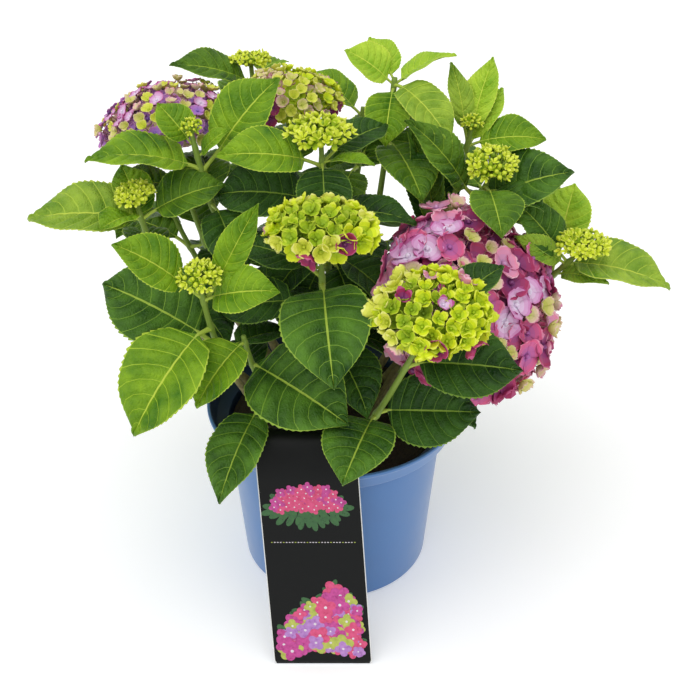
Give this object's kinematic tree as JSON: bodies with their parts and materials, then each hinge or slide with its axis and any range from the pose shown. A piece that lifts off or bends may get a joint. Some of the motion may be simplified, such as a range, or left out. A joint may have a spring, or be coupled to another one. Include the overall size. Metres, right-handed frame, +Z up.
{
  "type": "potted hydrangea",
  "caption": "Bushy hydrangea in a round nursery pot: upright leafy shoots end in domed flower heads, and a plant label is bent over the rim.",
  "frame": {"origin": "centre of the pot's flat underside, on the floor that it stands on", "axes": "+Z is up along the pot's axis, the front with the label and the two lime heads is -Y, +X is to the right seen from the front"},
  "size_m": [0.5361, 0.4386, 0.4507],
  "materials": {
    "pot_plastic": "satin",
    "label_card": "satin",
    "soil": "rough",
    "cane_bark": "matte",
    "leaf": "satin",
    "floret_lime": "matte",
    "floret_pink": "matte",
    "floret_mauve": "matte",
    "floret_cream": "matte"
  },
  "bodies": {
    "root": {"pot": "pot_plastic", "soil": "soil", "label": "label_card", "cane_front": "cane_bark", "leaves_front": "leaf", "head_front": "floret_lime", "cane_right_front": "cane_bark", "leaves_right_front": "leaf", "head_right_front": "floret_lime", "cane_right": "cane_bark", "leaves_right": "leaf", "head_right": "floret_pink", "cane_back_left": "cane_bark", "leaves_back_left": "leaf", "head_back_left": "floret_mauve", "cane_back": "cane_bark", "leaves_back": "leaf", "head_back": "floret_cream", "cane_centre": "cane_bark", "leaves_centre": "leaf", "head_centre": "floret_lime", "cane_top_left": "cane_bark", "leaves_top_left": "leaf", "head_top_left": "floret_lime", "cane_far_left": "cane_bark", "leaves_far_left": "leaf", "head_far_left": "floret_lime", "cane_left_front": "cane_bark", "leaves_left_front": "leaf", "head_left_front": "floret_lime", "cane_upper_left": "cane_bark", "leaves_upper_left": "leaf", "head_upper_left": "floret_lime", "cane_right_centre": "cane_bark", "leaves_right_centre": "leaf", "head_right_centre": "floret_lime", "cane_far_right": "cane_bark", "leaves_far_right": "leaf", "head_far_right": "floret_lime", "cane_upper_right": "cane_bark", "leaves_upper_right": "leaf", "head_upper_right": "floret_lime", "cane_top": "cane_bark", "leaves_top": "leaf", "cane_front_low": "cane_bark", "leaves_front_low": "leaf", "cane_rear_left": "cane_bark", "leaves_rear_left": "leaf", "cane_rear": "cane_bark", "leaves_rear": "leaf", "cane_rear_low": "cane_bark", "leaves_rear_low": "leaf", "cane_rear_right": "cane_bark", "leaves_rear_right": "leaf"}
  },
  "joints": []
}
